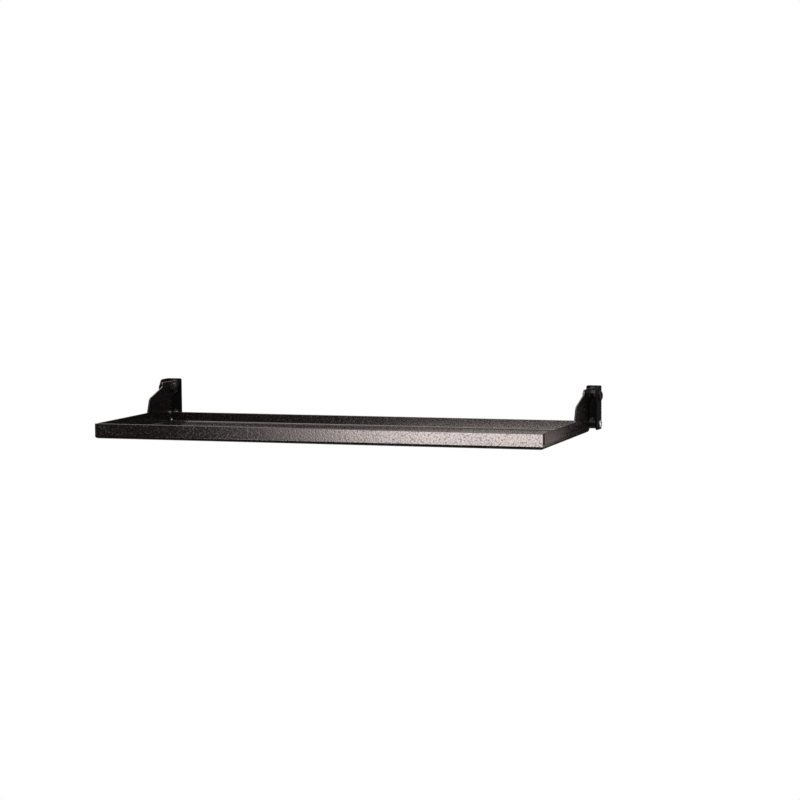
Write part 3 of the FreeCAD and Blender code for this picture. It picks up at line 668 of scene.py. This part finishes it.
def pale_floor():
    """Pale paper that keeps shadows under the tray and fades to white at its rim. A gleam shows
    it dim, so that it doesn't light up the underside of the tray."""
    material, tree, point = new_material("pale_floor_paper")
    rays = add(tree, "ShaderNodeLightPath", {}).outputs
    flat = add(tree, "ShaderNodeVectorMath", {0: point, 1: (1, 1, 0)}, operation="MULTIPLY")
    away = add(tree, "ShaderNodeVectorMath", {0: flat.outputs["Vector"]}, operation="LENGTH")
    fade = add(tree, "ShaderNodeMapRange",
               {"Value": away.outputs["Value"], "From Min": FADE_START, "From Max": FLOOR_RADIUS,
                "To Min": NEAR_WHITE, "To Max": 1.0})
    direct = add(tree, "ShaderNodeMath", {0: rays["Is Camera Ray"], 1: rays["Is Transmission Ray"]},
                 operation="MAXIMUM")
    gleam = add(tree, "ShaderNodeMath", {0: rays["Is Glossy Ray"], 1: GLEAM_SHARE},
                operation="MULTIPLY")
    seen = add(tree, "ShaderNodeMath", {0: direct.outputs["Value"], 1: gleam.outputs["Value"]},
               operation="MAXIMUM")
    share = add(tree, "ShaderNodeMath", {0: seen.outputs["Value"], 1: fade.outputs["Result"]},
                operation="MULTIPLY")
    paper = add(tree, "ShaderNodeBsdfDiffuse", {"Color": linear(FLOOR_PALE)})
    white = add(tree, "ShaderNodeEmission", {"Strength": 1.0})
    mixed = add(tree, "ShaderNodeMixShader", {0: share.outputs["Value"], 1: paper.outputs["BSDF"],
                                              2: white.outputs["Emission"]})
    add(tree, "ShaderNodeOutputMaterial", {"Surface": mixed.outputs["Shader"]})
    return material


floor_mesh = bpy.data.meshes.new("floor")
disc = bmesh.new()
bmesh.ops.create_circle(disc, cap_ends=True, segments=FLOOR_SIDES, radius=FLOOR_RADIUS)
bmesh.ops.translate(disc, verts=disc.verts, vec=(0, 0, cad_box[0].z - FLOOR_DROP))
disc.to_mesh(floor_mesh)
disc.free()
floor_mesh.materials.append(pale_floor())
floor = bpy.data.objects.new("floor", floor_mesh)
bpy.context.scene.collection.objects.link(floor)


def softbox(name, *, place, target, width, height, watts, spread=180, tint="#ffffff"):
    """A flat light that faces a point and shines into a cone of so many degrees."""
    light = bpy.data.lights.new(name, "AREA")
    light.shape = "RECTANGLE"
    light.size = width
    light.size_y = height
    light.energy = watts
    light.spread = radians(spread)
    light.color = linear(tint)[:3]
    lamp = bpy.data.objects.new(name, light)
    lamp.location = place
    lamp.rotation_euler = (Vector(target) - Vector(place)).to_track_quat("-Z", "Y").to_euler()
    lamp.visible_camera = False
    bpy.context.scene.collection.objects.link(lamp)


# The front light: three strips side by side, from dim on the left to full on the right. Each row
# gives where a strip stands from left to right, its width and its share of the full level.
FRONT_STRIPS = [(-0.44, 0.12, 0.17), (-0.32, 0.12, 0.8), (-0.12, 0.28, 1.0)]
FRONT_DISTANCE = 1.35
FRONT_HEIGHT = 0.4
FRONT_LEVEL = 25.6
for number, (aside, width, share) in enumerate(FRONT_STRIPS, 1):
    softbox(f"front_strip_{number}", place=(aside, -FRONT_DISTANCE, 0), target=(aside, 0, 0),
            width=width, height=FRONT_HEIGHT, watts=FRONT_LEVEL * share * width * FRONT_HEIGHT)
softbox("top_softbox", place=(-0.3, -0.3, 1.4), target=(0, -0.1, 0), width=1.2, height=1.2, watts=11.0)
softbox("back_softbox", place=(-0.9, 1.3, 0.9), target=(0, 0, 0), width=1.6, height=1.6, watts=6.0)
softbox("right_card", place=(0.375, 0.06, -0.04), target=(0.28, -0.2, -0.03), width=0.16,
        height=0.16, watts=0.0077, spread=80, tint="#ffeee6")
softbox("side_softbox", place=(1.25, -0.3, -0.05), target=(0.24, 0, 0), width=0.9, height=1.2,
        watts=6.5)

# The surround is white to the eye and even for plain light. Gleams find it pale overhead, and low
# behind on both sides. Each span says where that begins and is full, in parts of a direction of
# length one.
SURROUND_WHITE = "#ffffff"
ROOM_LEVEL = 0.6
GLEAM_LOW = 0.01
GLEAM_HIGH = 0.6
BACK_LEVEL = 1.0
OVERHEAD_SPAN = (0.15, 0.7)
BELOW_SPAN = (-0.12, -0.5)
BEHIND_SPAN = (0.1, 0.5)
BESIDE_SPAN = (0.25, 0.6)
world = bpy.data.worlds.new("white_surround")
world.use_nodes = True
sky = world.node_tree
sky.nodes.clear()
rays = add(sky, "ShaderNodeLightPath", {}).outputs
direction = add(sky, "ShaderNodeTexCoord", {}).outputs["Generated"]
heading = add(sky, "ShaderNodeSeparateXYZ", {"Vector": direction}).outputs
overhead = add(sky, "ShaderNodeMapRange",
               {"Value": heading["Z"], "From Min": OVERHEAD_SPAN[0], "From Max": OVERHEAD_SPAN[1],
                "To Min": GLEAM_LOW, "To Max": GLEAM_HIGH})
below = add(sky, "ShaderNodeMapRange",
            {"Value": heading["Z"], "From Min": BELOW_SPAN[0], "From Max": BELOW_SPAN[1],
             "To Min": 0.0, "To Max": BACK_LEVEL})
behind = add(sky, "ShaderNodeMapRange",
             {"Value": heading["Y"], "From Min": BEHIND_SPAN[0], "From Max": BEHIND_SPAN[1]})
sideways = add(sky, "ShaderNodeMath", {0: heading["X"]}, operation="ABSOLUTE")
beside = add(sky, "ShaderNodeMapRange",
             {"Value": sideways.outputs["Value"], "From Min": BESIDE_SPAN[0], "From Max": BESIDE_SPAN[1]})
back_sides = add(sky, "ShaderNodeMath", {0: behind.outputs["Result"], 1: beside.outputs["Result"]},
                 operation="MULTIPLY")
mirrored = add(sky, "ShaderNodeMath",
               {0: below.outputs["Result"], 1: back_sides.outputs["Value"], 2: overhead.outputs["Result"]},
               operation="MULTIPLY_ADD")
room = add(sky, "ShaderNodeMix",
           {"Factor": rays["Is Glossy Ray"], "A": ROOM_LEVEL, "B": mirrored.outputs["Value"]})
seen = add(sky, "ShaderNodeMath", {0: rays["Is Camera Ray"], 1: rays["Is Transmission Ray"]},
           operation="MAXIMUM")
level = add(sky, "ShaderNodeMix",
            {"Factor": seen.outputs["Value"], "A": room.outputs["Result"], "B": 1.0})
surround = add(sky, "ShaderNodeBackground",
               {"Color": linear(SURROUND_WHITE), "Strength": level.outputs["Result"]})
add(sky, "ShaderNodeOutputWorld", {"Surface": surround.outputs["Background"]})
bpy.context.scene.world = world


# Camera: in front of the tray, to the right and a little above, with a long lens. Its turns are
# in degrees.
CAMERA_PLACE = (0.777, -2.265, 0.198)
CAMERA_TURN = 18.39
CAMERA_DROP = 4.67
CAMERA_ROLL = -0.43
FOCAL_PIXELS = 2281
PHOTO_WIDTH = 800
SENSOR_WIDTH = 36

lens = bpy.data.cameras.new("camera")
lens.sensor_width = SENSOR_WIDTH
lens.lens = FOCAL_PIXELS / PHOTO_WIDTH * SENSOR_WIDTH
camera = bpy.data.objects.new("camera", lens)
camera.matrix_world = (Matrix.Translation(CAMERA_PLACE) @ Matrix.Rotation(radians(CAMERA_TURN), 4, "Z")
                       @ Matrix.Rotation(radians(90 - CAMERA_DROP), 4, "X")
                       @ Matrix.Rotation(radians(CAMERA_ROLL), 4, "Z"))
bpy.context.scene.collection.objects.link(camera)
bpy.context.scene.camera = camera
bpy.context.scene.view_settings.view_transform = "Standard"
